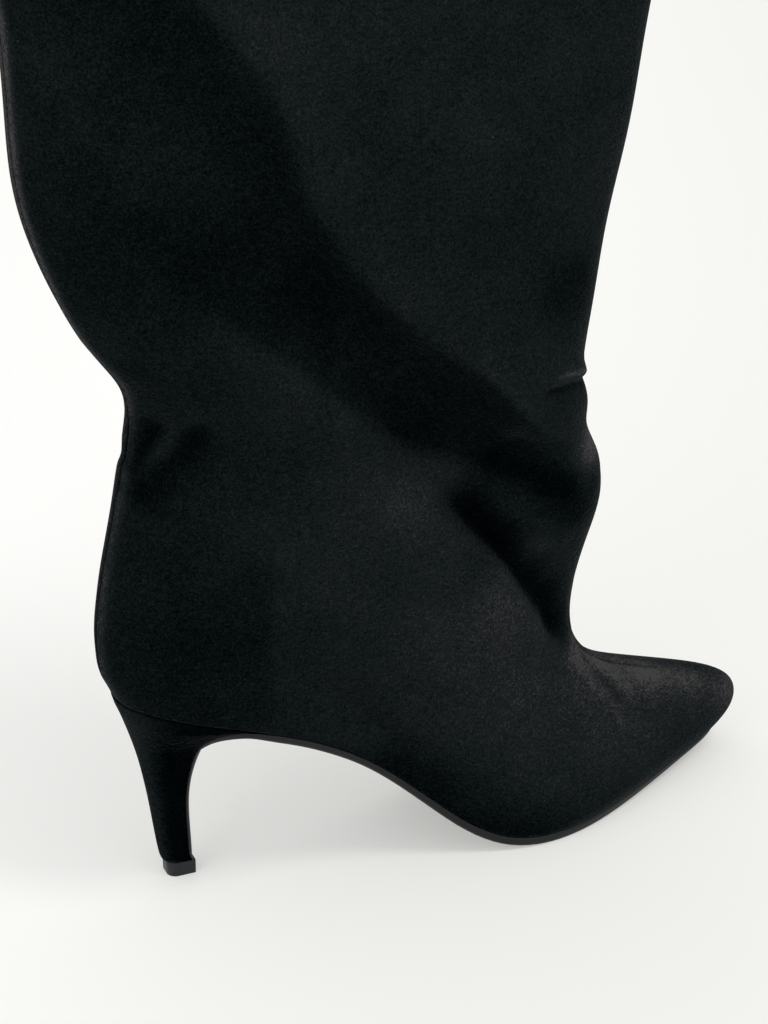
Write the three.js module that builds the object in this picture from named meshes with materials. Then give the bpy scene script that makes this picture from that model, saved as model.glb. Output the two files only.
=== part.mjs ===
import * as THREE from "three";

// A tall pull-on boot for the right foot: pointed toe, slim covered heel and a wide, slouching shaft.
// Lengths are millimetres. +X runs from heel to toe, +Z is up and -Y is the outer side of the leg.
// Sections are first laid out from the back of the heel at X = 0, and the whole boot is then moved
// so that the origin is the middle of the heel's walking face.

// Foot sizes: the toe of the upper stands past the end of the sole
const soleReach = 246;
const toeOverhang = 9;
const bootLength = soleReach + toeOverhang;
const seatStart = 3;
const ballWidth = 74;
const toeSwing = 7.5;
const seatHeight = 75;
const toeSpring = 6.8;

// Leg sizes
const collarHeight = 420;
const shaftDepth = 76;
const foldRelief = 7;

// Wall and sole thicknesses
const wall = 1.8;
const insoleThickness = 2;
const ballEdge = 3;
const waistEdge = 2.5;
const toeEdge = 1.7;
const flapThickness = 1.3;
const edgeChamfer = 0.7;
const soleMargin = 0.5;

// Heel sizes, with the seat's length as a share of the sole's reach
const seatShare = 0.2033;
const seatLength = seatShare * soleReach;
const seatWidth = 51.4;
const tipCentre = 23.9;
const tipLength = 10.2;
const tipWidth = 10.5;
const liftHeight = 5.5;
const liftCorner = 3.6;
const liftEase = 0.7;
const coverOverhang = 1;
const flapLedge = 1.2;
const flapRaise = 2;

// Space left between pieces that meet
const gap = 0.3;

// Places along the last, as shares of its length: where the foot starts to swing inward and over how
// far, where the sole starts to thin towards the toe and the waist, and over how far it does
const swingStart = 0.55;
const swingReach = 0.6;
const toeThinStart = 0.72;
const toeThinReach = 0.26;
const waistThinStart = 0.56;
const waistThinReach = 0.2;

// Share of a fold's length over which each of its ends fades out
const foldFade = 0.25;

// How finely the pieces are divided
const ringCount = 38;
const sideSteps = 30;
const heelSteps = 10;
const toeStep = 0.4;
const liftArcSteps = 6;
const slopeStep = 1;

// Below 1 the back of the heel's stem is blunter than an oval
const stemBlunt = 0.85;

// The higher this is, the closer to the back seam the leg's square corner stays
const squareFade = 10;

// Bottom of the last: rise is the share of the climb to the heel seat, spring the share of the toe spring.
const lastBottom = [
  { at: 0.0, rise: 1.0, spring: 0 },
  { at: 0.032, rise: 1.0, spring: 0 },
  { at: 0.063, rise: 0.985, spring: 0 },
  { at: 0.099, rise: 0.955, spring: 0 },
  { at: 0.139, rise: 0.913, spring: 0 },
  { at: 0.167, rise: 0.882, spring: 0 },
  { at: 0.198, rise: 0.838, spring: 0 },
  { at: 0.238, rise: 0.785, spring: 0 },
  { at: 0.278, rise: 0.716, spring: 0 },
  { at: 0.337, rise: 0.592, spring: 0 },
  { at: 0.393, rise: 0.43, spring: 0 },
  { at: 0.448, rise: 0.25, spring: 0 },
  { at: 0.488, rise: 0.125, spring: 0 },
  { at: 0.536, rise: 0.032, spring: 0 },
  { at: 0.57, rise: 0, spring: 0 },
  { at: 0.69, rise: 0, spring: 0 },
  { at: 0.754, rise: 0, spring: 0.11 },
  { at: 0.841, rise: 0, spring: 0.38 },
  { at: 0.929, rise: 0, spring: 0.78 },
  { at: 0.965, rise: 0, spring: 1 },
];

// Outline of the last's bottom: how full each side is against a plain oval as wide as the ball.
const lastOutline = [
  { along: 0.0, outer: 1.41, inner: 1.41 },
  { along: 0.03, outer: 1.32, inner: 1.32 },
  { along: 0.07, outer: 1.21, inner: 1.19 },
  { along: 0.13, outer: 1.04, inner: 1.01 },
  { along: 0.25, outer: 0.8, inner: 0.72 },
  { along: 0.38, outer: 0.7, inner: 0.55 },
  { along: 0.46, outer: 0.78, inner: 0.55 },
  { along: 0.53, outer: 0.93, inner: 0.65 },
  { along: 0.59, outer: 1.03, inner: 0.82 },
  { along: 0.66, outer: 1.05, inner: 1.0 },
  { along: 0.73, outer: 0.965, inner: 1.06 },
  { along: 0.8, outer: 0.855, inner: 1.03 },
  { along: 0.87, outer: 0.745, inner: 0.92 },
  { along: 0.93, outer: 0.67, inner: 0.77 },
  { along: 1.0, outer: 0.65, inner: 0.65 },
];

// Front line of the boot in side view, from the feather line over toe and instep up to the collar.
// forward counts toe overhangs beyond the sole's reach, and up is the share of the way to the collar.
const frontLine = [
  { ring: 0, forward: 0, up: 0 },
  { ring: 1, forward: 0.5, up: 0.0085 },
  { ring: 2.2, forward: 0.88, up: 0.0185 },
  { ring: 3.1, forward: 1, up: 0.027 },
  { ring: 4, forward: 0.86, up: 0.039 },
  { ring: 5, forward: 0.26, up: 0.05 },
  { ring: 6, forward: -0.78, up: 0.06 },
  { ring: 8, forward: -3.9, up: 0.081 },
  { ring: 9.3, forward: -6.0, up: 0.097 },
  { ring: 11, forward: -7.25, up: 0.126 },
  { ring: 13, forward: -7.55, up: 0.168 },
  { ring: 15, forward: -7.2, up: 0.219 },
  { ring: 18, forward: -6.55, up: 0.28 },
  { ring: 20, forward: -6.8, up: 0.317 },
  { ring: 22, forward: -7.5, up: 0.35 },
  { ring: 23.3, forward: -7.35, up: 0.371 },
  { ring: 25, forward: -7.75, up: 0.395 },
  { ring: 27, forward: -7.42, up: 0.452 },
  { ring: 30, forward: -6.45, up: 0.567 },
  { ring: 33, forward: -5.2, up: 0.719 },
  { ring: 37, forward: -4.2, up: 1 },
];

// Back line of the boot in side view, from the heel seat over the counter up to the collar.
// forward is a share of the boot's length from the seat's start.
const backLine = [
  { ring: 0, forward: 0, up: 0 },
  { ring: 2, forward: -0.007, up: 0.016 },
  { ring: 4, forward: -0.016, up: 0.038 },
  { ring: 7, forward: -0.018, up: 0.072 },
  { ring: 10, forward: -0.01, up: 0.119 },
  { ring: 14, forward: 0.0155, up: 0.206 },
  { ring: 17, forward: 0.031, up: 0.267 },
  { ring: 19, forward: 0.041, up: 0.299 },
  { ring: 20.5, forward: 0.04, up: 0.32 },
  { ring: 22, forward: 0.026, up: 0.343 },
  { ring: 23.5, forward: -0.004, up: 0.37 },
  { ring: 25, forward: -0.028, up: 0.4 },
  { ring: 27, forward: -0.062, up: 0.464 },
  { ring: 29, forward: -0.084, up: 0.536 },
  { ring: 32, forward: -0.094, up: 0.661 },
  { ring: 37, forward: -0.104, up: 1 },
];

// Girth of the upper: last is how much of the last's own outline a section keeps, swell how far that
// outline stands out, and outer and inner are the half depths of the leg, as shares of half its depth.
// A section is blunter than an oval where blunt is below 1, and square fills its inner back corner.
const girths = [
  { ring: 0, last: 1, swell: 1, outer: 0.86, inner: 0.86, blunt: 1, square: 0 },
  { ring: 1, last: 1, swell: 1.03, outer: 0.86, inner: 0.86, blunt: 1, square: 0 },
  { ring: 3, last: 1, swell: 1.05, outer: 0.86, inner: 0.86, blunt: 1, square: 0 },
  { ring: 4, last: 0.96, swell: 1.03, outer: 0.86, inner: 0.86, blunt: 1, square: 0 },
  { ring: 6, last: 0.87, swell: 0.96, outer: 0.86, inner: 0.86, blunt: 1, square: 0 },
  { ring: 8, last: 0.75, swell: 0.89, outer: 0.87, inner: 0.85, blunt: 1, square: 0 },
  { ring: 10, last: 0.6, swell: 0.84, outer: 0.88, inner: 0.85, blunt: 0.95, square: 0 },
  { ring: 13, last: 0.36, swell: 0.82, outer: 0.9, inner: 0.86, blunt: 0.9, square: 0 },
  { ring: 17, last: 0.1, swell: 0.82, outer: 0.92, inner: 0.88, blunt: 0.86, square: 0 },
  { ring: 20, last: 0, swell: 0.82, outer: 0.9, inner: 0.9, blunt: 0.84, square: 0 },
  { ring: 22, last: 0, swell: 0.82, outer: 0.92, inner: 0.92, blunt: 0.83, square: 0.25 },
  { ring: 25, last: 0, swell: 0.82, outer: 0.96, inner: 0.97, blunt: 0.82, square: 0.8 },
  { ring: 29, last: 0, swell: 0.82, outer: 1.0, inner: 1.02, blunt: 0.82, square: 0.5 },
  { ring: 33, last: 0, swell: 0.82, outer: 1.0, inner: 1.0, blunt: 0.84, square: 0.28 },
  { ring: 37, last: 0, swell: 0.82, outer: 1.0, inner: 1.0, blunt: 0.86, square: 0.15 },
];

// Large slouch folds of the leg in side view: forward is a share of the boot's length and up of its
// height, height is the share of the fold relief (a trough is below zero) and reach its half width
// as a share of the leg's depth.
const folds = [
  {
    side: "outer", height: 0.75, reach: 0.24,
    path: [
      { forward: 0.12, up: 0.78 }, { forward: 0.3, up: 0.57 }, { forward: 0.5, up: 0.445 },
      { forward: 0.69, up: 0.32 },
    ],
  },
  {
    side: "outer", height: -1, reach: 0.23,
    path: [
      { forward: 0.14, up: 0.64 }, { forward: 0.31, up: 0.48 }, { forward: 0.43, up: 0.4 },
      { forward: 0.68, up: 0.295 },
    ],
  },
  {
    side: "outer", height: 0.7, reach: 0.22,
    path: [{ forward: 0.05, up: 0.55 }, { forward: 0.2, up: 0.47 }, { forward: 0.42, up: 0.37 }],
  },
  {
    side: "outer", height: -0.9, reach: 0.19,
    path: [
      { forward: 0.4, up: 0.35 }, { forward: 0.55, up: 0.28 }, { forward: 0.64, up: 0.22 },
      { forward: 0.69, up: 0.16 },
    ],
  },
  {
    side: "outer", height: -0.7, reach: 0.17,
    path: [{ forward: 0.01, up: 0.44 }, { forward: 0.13, up: 0.43 }],
  },
  {
    side: "inner", height: 0.7, reach: 0.26,
    path: [{ forward: 0.1, up: 0.72 }, { forward: 0.34, up: 0.55 }, { forward: 0.68, up: 0.4 }],
  },
  {
    side: "inner", height: -0.9, reach: 0.24,
    path: [{ forward: 0.08, up: 0.58 }, { forward: 0.34, up: 0.46 }, { forward: 0.68, up: 0.33 }],
  },
  {
    side: "inner", height: -0.8, reach: 0.2,
    path: [{ forward: 0.38, up: 0.33 }, { forward: 0.58, up: 0.25 }, { forward: 0.69, up: 0.17 }],
  },
];

// Heel from the seat down to the tip. out and climb place the sole's outer face between tip and seat,
// and sole is how much of the waist's thickness it keeps there. back and backClimb place the heel's
// back line, and wide is the share of the seat's extra width.
const heelRows = [
  { out: 0.817, climb: 1.015, sole: 1, back: 0.97, backClimb: 0.981, wide: 0.945 },
  { out: 0.635, climb: 1.028, sole: 1, back: 0.94, backClimb: 0.955, wide: 0.92 },
  { out: 0.475, climb: 1.026, sole: 0.9, back: 0.88, backClimb: 0.925, wide: 0.865 },
  { out: 0.329, climb: 1.004, sole: 0.8, back: 0.81, backClimb: 0.885, wide: 0.75 },
  { out: 0.2, climb: 0.962, sole: 0.6, back: 0.73, backClimb: 0.833, wide: 0.59 },
  { out: 0.1, climb: 0.887, sole: 0.35, back: 0.59, backClimb: 0.736, wide: 0.386 },
  { out: 0.037, climb: 0.764, sole: 0.15, back: 0.44, backClimb: 0.612, wide: 0.244 },
  { out: -0.037, climb: 0.604, sole: 0, back: 0.33, backClimb: 0.482, wide: 0.157 },
  { out: -0.055, climb: 0.443, sole: 0, back: 0.24, backClimb: 0.358, wide: 0.1 },
  { out: -0.037, climb: 0.292, sole: 0, back: 0.17, backClimb: 0.235, wide: 0.056 },
  { out: -0.014, climb: 0.132, sole: 0, back: 0.1, backClimb: 0.112, wide: 0.025 },
  { out: 0.0, climb: 0, sole: 0, back: 0.03, backClimb: 0.017, wide: 0.005 },
];

function mix(from, to, share) {
  return from + (to - from) * share;
}

function smoothStep(value) {
  const share = Math.min(Math.max(value, 0), 1);
  return share * share * (3 - 2 * share);
}

// A smooth line through one column of a table that never swings past its rows.
function columnCurve(rows, key, column) {
  const places = rows.map((row) => row[key]);
  const values = rows.map((row) => row[column]);
  const slopes = values.slice(1).map((value, i) => (value - values[i]) / (places[i + 1] - places[i]));
  const tangents = values.map((_, i) => {
    const before = slopes[Math.max(i - 1, 0)];
    const after = slopes[Math.min(i, slopes.length - 1)];
    if (before * after <= 0) {
      return 0;
    }
    return (2 * before * after) / (before + after);
  });
  return (place) => {
    const held = Math.min(Math.max(place, places[0]), places[places.length - 1]);
    let i = 0;
    while (i < slopes.length - 1 && held > places[i + 1]) {
      i += 1;
    }
    const span = places[i + 1] - places[i];
    const t = (held - places[i]) / span;
    const t2 = t * t;
    const t3 = t2 * t;
    return (
      (2 * t3 - 3 * t2 + 1) * values[i] +
      (t3 - 2 * t2 + t) * span * tangents[i] +
      (3 * t2 - 2 * t3) * values[i + 1] +
      (t3 - t2) * span * tangents[i + 1]
    );
  };
}

const riseCurve = columnCurve(lastBottom, "at", "rise");
const springCurve = columnCurve(lastBottom, "at", "spring");
const outlineCurves = {
  outer: columnCurve(lastOutline, "along", "outer"),
  inner: columnCurve(lastOutline, "along", "inner"),
};

// Height of the last's bottom, where upper, insole, heel and outsole all meet.
function lastHeight(x) {
  const at = x / bootLength;
  return ballEdge + gap + riseCurve(at) * (seatHeight - ballEdge - gap) + springCurve(at) * toeSpring;
}

// Middle line of the foot: it swings inward towards the toe.
function footMiddle(along) {
  return toeSwing * smoothStep((along - swingStart) / swingReach);
}

function lastHalfWidth(side, along) {
  const oval = 2 * Math.sqrt(Math.max(along * (1 - along), 0));
  return (ballWidth / 2) * outlineCurves[side](along) * oval;
}

function alongLast(x) {
  return (x - seatStart) / (soleReach - seatStart);
}

const sides = { outer: -1, inner: 1 };

// One closed body, gathered as corners and faces.
class Body {
  constructor() {
    this.corners = [];
    this.faces = [];
  }

  corner(x, y, z) {
    this.corners.push(new THREE.Vector3(x, y, z));
    return this.corners.length - 1;
  }

  triangle(a, b, c) {
    if (a !== b && b !== c && c !== a) {
      this.faces.push([a, b, c]);
    }
  }

  quad(a, b, c, d) {
    this.triangle(a, b, c);
    this.triangle(a, c, d);
  }

  // Skin between two closed loops of corners. Each face is split along one diagonal or the other.
  band(lower, upper, splitOther = () => false) {
    lower.forEach((corner, i) => {
      const next = (i + 1) % lower.length;
      if (splitOther(i)) {
        this.quad(lower[next], upper[next], upper[i], corner);
      } else {
        this.quad(corner, lower[next], upper[next], upper[i]);
      }
    });
  }

  // Flat or ruled end of a loop whose first and last corners face each other across the body.
  lid(loop, facesOn) {
    for (let i = 0; i < Math.floor(loop.length / 2); i += 1) {
      const j = loop.length - 1 - i;
      if (facesOn) {
        this.quad(loop[i], loop[i + 1], loop[j - 1], loop[j]);
      } else {
        this.quad(loop[j], loop[j - 1], loop[i + 1], loop[i]);
      }
    }
  }

  geometry() {
    const volume = this.faces.reduce((sum, [a, b, c]) => {
      const cross = new THREE.Vector3().crossVectors(this.corners[b], this.corners[c]);
      return sum + this.corners[a].dot(cross);
    }, 0);
    const faces = volume < 0 ? this.faces.map(([a, b, c]) => [a, c, b]) : this.faces;
    const shape = new THREE.BufferGeometry();
    const places = this.corners.flatMap((corner) => corner.toArray());
    shape.setAttribute("position", new THREE.Float32BufferAttribute(places, 3));
    shape.setIndex(faces.flat());
    shape.computeVertexNormals();
    return shape;
  }
}

const front = {
  forward: columnCurve(frontLine, "ring", "forward"),
  up: columnCurve(frontLine, "ring", "up"),
};
const back = {
  forward: columnCurve(backLine, "ring", "forward"),
  up: columnCurve(backLine, "ring", "up"),
};
const girth = {
  last: columnCurve(girths, "ring", "last"),
  swell: columnCurve(girths, "ring", "swell"),
  outer: columnCurve(girths, "ring", "outer"),
  inner: columnCurve(girths, "ring", "inner"),
  blunt: columnCurve(girths, "ring", "blunt"),
  square: columnCurve(girths, "ring", "square"),
};

// How far a fold lifts the leg at a place in side view.
function foldLift(fold, x, z) {
  const reach = fold.reach * shaftDepth;
  const points = fold.path.map((point) => [point.forward * bootLength, point.up * collarHeight]);
  const steps = points.slice(1).map(([x1, z1], i) => Math.hypot(x1 - points[i][0], z1 - points[i][1]));
  const total = steps.reduce((sum, step) => sum + step, 0);
  let nearest = Infinity;
  let share = 0;
  let walked = 0;
  steps.forEach((step, i) => {
    const [x0, z0] = points[i];
    const [x1, z1] = points[i + 1];
    const t = Math.min(Math.max(((x - x0) * (x1 - x0) + (z - z0) * (z1 - z0)) / (step * step), 0), 1);
    const distance = Math.hypot(x - mix(x0, x1, t), z - mix(z0, z1, t));
    if (distance < nearest) {
      nearest = distance;
      share = (walked + t * step) / total;
    }
    walked += step;
  });
  const ends = smoothStep(share / foldFade + foldFade) * smoothStep((1 - share) / foldFade + foldFade);
  return fold.height * foldRelief * ends * Math.exp(-((nearest / reach) ** 2));
}

// A point of the upper's outer face: ring counts up the boot and turn goes from back to front.
function upperPoint(ring, turn, side) {
  const along = (1 - Math.cos(turn)) / 2;
  const oval = Math.max(Math.sin(turn), 0);
  const toeHeight = lastHeight(soleReach);
  const last = girth.last(ring);
  const frontX = mix(soleReach, bootLength, front.forward(ring));
  const frontZ = mix(toeHeight, collarHeight, front.up(ring));
  const backX = seatStart + back.forward(ring) * bootLength;
  const backZ = mix(seatHeight, collarHeight, back.up(ring));
  const x = mix(backX, frontX, along);
  const footX = mix(seatStart, soleReach, along);
  const sag = lastHeight(footX) - mix(seatHeight, toeHeight, along);
  const z = mix(backZ, frontZ, along) + last * sag;
  const footHalf = lastHalfWidth(side, along) * girth.swell(ring);
  const corner = side === "inner" ? girth.square(ring) * (1 - along) ** squareFade : 0;
  const legHalf = (shaftDepth / 2) * girth[side](ring) * oval ** girth.blunt(ring) * (1 + corner);
  const half = mix(legHalf, footHalf, last);
  const ownFolds = folds.filter((fold) => fold.side === side);
  const lift = ownFolds.reduce((sum, fold) => sum + foldLift(fold, x, z), 0);
  const y = sides[side] * (half + lift * oval) + footMiddle(along) * last;
  return new THREE.Vector3(x, y, z);
}

function makeUpper() {
  const around = 2 * sideSteps;
  const outside = [];
  for (let ring = 0; ring < ringCount; ring += 1) {
    const loop = [];
    for (let i = 0; i < around; i += 1) {
      const turn = (Math.PI * (i <= sideSteps ? i : around - i)) / sideSteps;
      loop.push(upperPoint(ring, turn, i <= sideSteps ? "outer" : "inner"));
    }
    outside.push(loop);
  }
  const topRing = ringCount - 1;
  const inside = outside.map((loop, ring) =>
    loop.map((place, i) => {
      const next = loop[(i + 1) % around];
      const previous = loop[(i + around - 1) % around];
      const level = new THREE.Vector3().subVectors(next, previous);
      const above = outside[Math.min(ring + 1, topRing)][i];
      const below = outside[Math.max(ring - 1, 0)][i];
      const outward = level.cross(new THREE.Vector3().subVectors(above, below));
      if (ring === 0 || ring === topRing) {
        outward.z = 0;
      }
      const inner = place.clone().addScaledVector(outward.normalize(), -wall);
      if (ring === 0) {
        inner.z = lastHeight(inner.x);
      }
      return inner;
    }),
  );
  const body = new Body();
  const addLoop = (loop) => loop.map((place) => body.corner(place.x, place.y, place.z));
  const outsideLoops = outside.map(addLoop);
  const insideLoops = inside.map(addLoop);
  // Faces are split along the slouch folds, which run down towards the front on both sides of the leg.
  const onOuterSide = (i) => i < sideSteps;
  const onInnerSide = (i) => i >= sideSteps;
  for (let ring = 0; ring < topRing; ring += 1) {
    body.band(outsideLoops[ring], outsideLoops[ring + 1], onOuterSide);
    body.band(insideLoops[ring + 1], insideLoops[ring], onInnerSide);
  }
  body.band(insideLoops[0], outsideLoops[0]);
  body.band(outsideLoops[topRing], insideLoops[topRing]);
  return body.geometry();
}

// The insole lies inside the upper's wall, on the bottom of the last.
function makeInsole() {
  const body = new Body();
  const edge = [];
  const around = 2 * sideSteps;
  for (let i = 0; i < around; i += 1) {
    const side = i <= sideSteps ? "outer" : "inner";
    const turn = (Math.PI * (i <= sideSteps ? i : around - i)) / sideSteps;
    edge.push(upperPoint(0, turn, side));
  }
  const places = edge.map((place, i) => {
    const next = edge[(i + 1) % around];
    const previous = edge[(i + around - 1) % around];
    const outward = new THREE.Vector3(next.y - previous.y, previous.x - next.x, 0).normalize();
    return place.clone().addScaledVector(outward, -wall - gap);
  });
  const layer = (height) => places.map(({ x, y }) => body.corner(x, y, lastHeight(x) + height));
  const under = layer(0);
  const over = layer(insoleThickness);
  body.band(under, over);
  for (let i = 0; i < sideSteps; i += 1) {
    const j = (around - i) % around;
    body.quad(over[i], over[i + 1], over[around - i - 1], over[j]);
    body.quad(under[j], under[around - i - 1], under[i + 1], under[i]);
  }
  return body.geometry();
}

const tipFront = tipCentre + tipLength / 2;
const tipBack = tipCentre - tipLength / 2;

// Stations of the outsole from the toe along ball, arch and down the heel breast.
function soleStations() {
  const underFoot = [];
  const turns = [sideSteps - toeStep];
  for (let step = sideSteps - 1; step > 0; step -= 1) {
    turns.push(step);
  }
  turns.forEach((step) => {
    const x = mix(seatStart, soleReach, (1 - Math.cos((Math.PI * step) / sideSteps)) / 2);
    if (x > seatLength) {
      const along = alongLast(x);
      const rise = lastHeight(x + slopeStep / 2) - lastHeight(x - slopeStep / 2);
      const normal = new THREE.Vector2(-rise, slopeStep).normalize();
      const toe = smoothStep((along - toeThinStart) / toeThinReach);
      const waist = smoothStep((waistThinStart - along) / waistThinReach);
      const thickness = mix(mix(ballEdge, waistEdge, waist), toeEdge, toe);
      const top = new THREE.Vector2(x, lastHeight(x) - gap);
      underFoot.push({
        face: top.clone().addScaledVector(normal, -thickness),
        normal,
        thickness,
        outer: lastHalfWidth("outer", along) + soleMargin,
        inner: lastHalfWidth("inner", along) + soleMargin,
        middle: footMiddle(along),
      });
    }
  });
  const joinHeight = lastHeight(seatLength) - gap - waistEdge;
  const tipEnd = new THREE.Vector2(tipFront - flapLedge, liftHeight + flapRaise);
  const faces = heelRows.map(
    (row) => new THREE.Vector2(mix(tipEnd.x, seatLength, row.out), mix(tipEnd.y, joinHeight, row.climb)),
  );
  const breast = heelRows.map((row, i) => {
    const before = i === 0 ? underFoot[underFoot.length - 1].face : faces[i - 1];
    const after = faces[Math.min(i + 1, faces.length - 1)];
    const travel = new THREE.Vector2().subVectors(after, before).normalize();
    const half = mix(tipWidth / 2, seatWidth / 2, row.wide);
    return {
      face: faces[i],
      normal: new THREE.Vector2(travel.y, -travel.x),
      thickness: mix(flapThickness, waistEdge, row.sole),
      outer: half,
      inner: half,
      middle: 0,
    };
  });
  return { underFoot, breast };
}

const stations = soleStations();

function makeOutsole() {
  const body = new Body();
  const loops = [...stations.underFoot, ...stations.breast].map((station) => {
    const chamfer = Math.min(edgeChamfer, station.outer / 2, station.thickness / 2);
    const atDepth = (depth, y) => {
      const place = station.face.clone().addScaledVector(station.normal, depth);
      return body.corner(place.x, station.middle + y, place.y);
    };
    return [
      atDepth(station.thickness, -station.outer),
      atDepth(chamfer, -station.outer),
      atDepth(0, chamfer - station.outer),
      atDepth(0, station.inner - chamfer),
      atDepth(chamfer, station.inner),
      atDepth(station.thickness, station.inner),
    ];
  });
  for (let i = 0; i < loops.length - 1; i += 1) {
    body.band(loops[i], loops[i + 1]);
  }
  body.lid(loops[0], false);
  body.lid(loops[loops.length - 1], true);
  return body.geometry();
}

// The heel block: its top follows the last's bottom and its front lies against the outsole.
function makeHeel() {
  const body = new Body();
  const seatFront = stations.breast[0];
  const tipHeight = liftHeight + gap;
  const backEnd = tipBack - coverOverhang;
  const section = (frontPlace, backPlace, half, wide, heightAt) => {
    const loop = [];
    for (let i = 0; i <= 2 * heelSteps; i += 1) {
      const side = i <= heelSteps ? "outer" : "inner";
      const turn = ((Math.PI / 2) * (i <= heelSteps ? i : 2 * heelSteps - i)) / heelSteps;
      const reach = Math.sin(turn);
      const x = mix(frontPlace.x, backPlace.x, reach);
      const seatX = mix(seatFront.face.x, seatStart, reach);
      const seatHalf = (lastHalfWidth(side, alongLast(seatX)) * half) / (seatWidth / 2);
      const stemHalf = half * Math.max(Math.cos(turn), 0) ** stemBlunt;
      const y = sides[side] * mix(stemHalf, seatHalf, wide);
      loop.push(body.corner(x, i === heelSteps ? 0 : y, heightAt(x, reach)));
    }
    return loop;
  };
  const fronts = stations.breast.map((station) =>
    station.face.clone().addScaledVector(station.normal, station.thickness + gap),
  );
  const seatBack = new THREE.Vector2(seatStart, seatHeight - gap);
  const topLoop = section(fronts[0], seatBack, seatWidth / 2, 1, (x) => lastHeight(x) - gap);
  const middleLoops = heelRows.map((row, i) => {
    const place = new THREE.Vector2(
      mix(backEnd, seatStart, row.back),
      mix(tipHeight, seatHeight - gap, row.backClimb),
    );
    const half = mix(tipWidth / 2, seatWidth / 2, row.wide);
    return section(fronts[i], place, half, row.wide, (_, reach) => mix(fronts[i].y, place.y, reach));
  });
  const footFront = new THREE.Vector2(fronts[fronts.length - 1].x + flapThickness, tipHeight);
  const footBack = new THREE.Vector2(backEnd + gap, tipHeight);
  const footLoop = section(footFront, footBack, tipWidth / 2, 0, () => tipHeight);
  const loops = [topLoop, ...middleLoops, footLoop];
  for (let i = 0; i < loops.length - 1; i += 1) {
    body.band(loops[i], loops[i + 1]);
  }
  body.lid(loops[0], false);
  body.lid(loops[loops.length - 1], true);
  return body.geometry();
}

// The replaceable top lift under the heel: straight in front and rounded at the back.
function makeTopLift() {
  const half = tipWidth / 2;
  const outline = new THREE.Shape();
  outline.moveTo(tipFront - liftEase, -half);
  outline.absarc(tipFront - liftEase, liftEase - half, liftEase, -Math.PI / 2, 0, false);
  outline.absarc(tipFront - liftEase, half - liftEase, liftEase, 0, Math.PI / 2, false);
  outline.absarc(tipBack + liftCorner, half - liftCorner, liftCorner, Math.PI / 2, Math.PI, false);
  outline.absarc(tipBack + liftCorner, liftCorner - half, liftCorner, Math.PI, 1.5 * Math.PI, false);
  outline.closePath();
  return new THREE.ExtrudeGeometry(outline, {
    depth: liftHeight,
    bevelEnabled: false,
    curveSegments: liftArcSteps,
  });
}

function piece(name, geometry, color, roughness) {
  const mesh = new THREE.Mesh(geometry, new THREE.MeshStandardMaterial({ color, roughness, metalness: 0 }));
  mesh.name = name;
  return mesh;
}

const boot = new THREE.Group();
boot.add(piece("upper", makeUpper(), 0x14181a, 0.95));
boot.add(piece("insole", makeInsole(), 0x1b1b1c, 0.8));
boot.add(piece("outsole", makeOutsole(), 0x1a1c1d, 0.35));
boot.add(piece("heel", makeHeel(), 0x131618, 0.95));
boot.add(piece("top_lift", makeTopLift(), 0x22262a, 0.4));
boot.position.x = -tipCentre;

export default boot;
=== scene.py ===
import math
import bmesh
import bpy
import numpy as np
from mathutils import Matrix, Vector


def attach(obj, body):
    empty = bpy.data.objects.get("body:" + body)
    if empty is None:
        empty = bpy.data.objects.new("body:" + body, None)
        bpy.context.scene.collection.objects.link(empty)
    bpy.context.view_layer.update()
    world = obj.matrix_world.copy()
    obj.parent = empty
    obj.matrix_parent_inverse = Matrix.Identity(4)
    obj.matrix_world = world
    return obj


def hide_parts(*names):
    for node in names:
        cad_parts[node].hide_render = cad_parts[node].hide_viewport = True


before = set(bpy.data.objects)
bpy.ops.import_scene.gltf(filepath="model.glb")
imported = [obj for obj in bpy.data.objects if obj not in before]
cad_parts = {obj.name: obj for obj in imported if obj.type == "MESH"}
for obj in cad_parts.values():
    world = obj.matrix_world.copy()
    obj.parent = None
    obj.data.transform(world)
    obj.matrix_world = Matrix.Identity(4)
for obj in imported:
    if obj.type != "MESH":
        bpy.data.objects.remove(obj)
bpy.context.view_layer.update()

scene = bpy.context.scene


def mm(length):
    return length / 1000


# An sRGB hex colour made linear, as the shaders take it.
def linear(hexColour):
    channels = [int(hexColour[i:i + 2], 16) / 255 for i in (1, 3, 5)]
    return tuple(c / 12.92 if c < 0.04045 else ((c + 0.055) / 1.055) ** 2.4 for c in channels) + (1,)


# Adds a node, sets its properties and inputs, and links what runs into it.
def addNode(tree, kind, inputs=None, links=None, **settings):
    node = tree.nodes.new(kind)
    for key, value in settings.items():
        setattr(node, key, value)
    for key, value in (inputs or {}).items():
        node.inputs[key].default_value = value
    for key, socket in (links or {}).items():
        tree.links.new(socket, node.inputs[key])
    return node


def newMaterial(name):
    material = bpy.data.materials.new(name)
    material.use_nodes = True
    tree = material.node_tree
    tree.nodes.clear()
    shader = addNode(tree, "ShaderNodeBsdfPrincipled")
    addNode(tree, "ShaderNodeOutputMaterial", links={"Surface": shader.outputs[0]})
    return material, tree, shader


print("materials")

suedeSizes = {
    # tones along the attribute; the palest stops carry the painted highlights
    "tones": ((0.0, "#010304"), (0.3, "#080d0e"), (0.62, "#171c1d"), (0.78, "#222425"),
              (0.9, "#2f2f30"), (1.0, "#3f3e3f")),
    "napGrain": 0.75,  # mm across, as are pebble and cloud
    "pebble": 2.3,
    "pebbleFlatten": 1.9,
    "cloud": 26,
    "grainAmount": 1.35,
    "pebbleAmount": 0.4,
    "cloudAmount": 0.36,
    "grainHeight": 0.3,
    "pebbleHeight": 0.5,
    "bump": 0.9,
    "lintPerMetre": 150.0,
    "lintSize": 0.045,
    "lintCloud": 0.62,
    "lintColour": "#3a4042",
    "seamColour": "#020303",
    "sheen": 0.2,
    "sheenRoughness": 0.13,
    "sheenTint": "#c9ced2",
}
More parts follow.
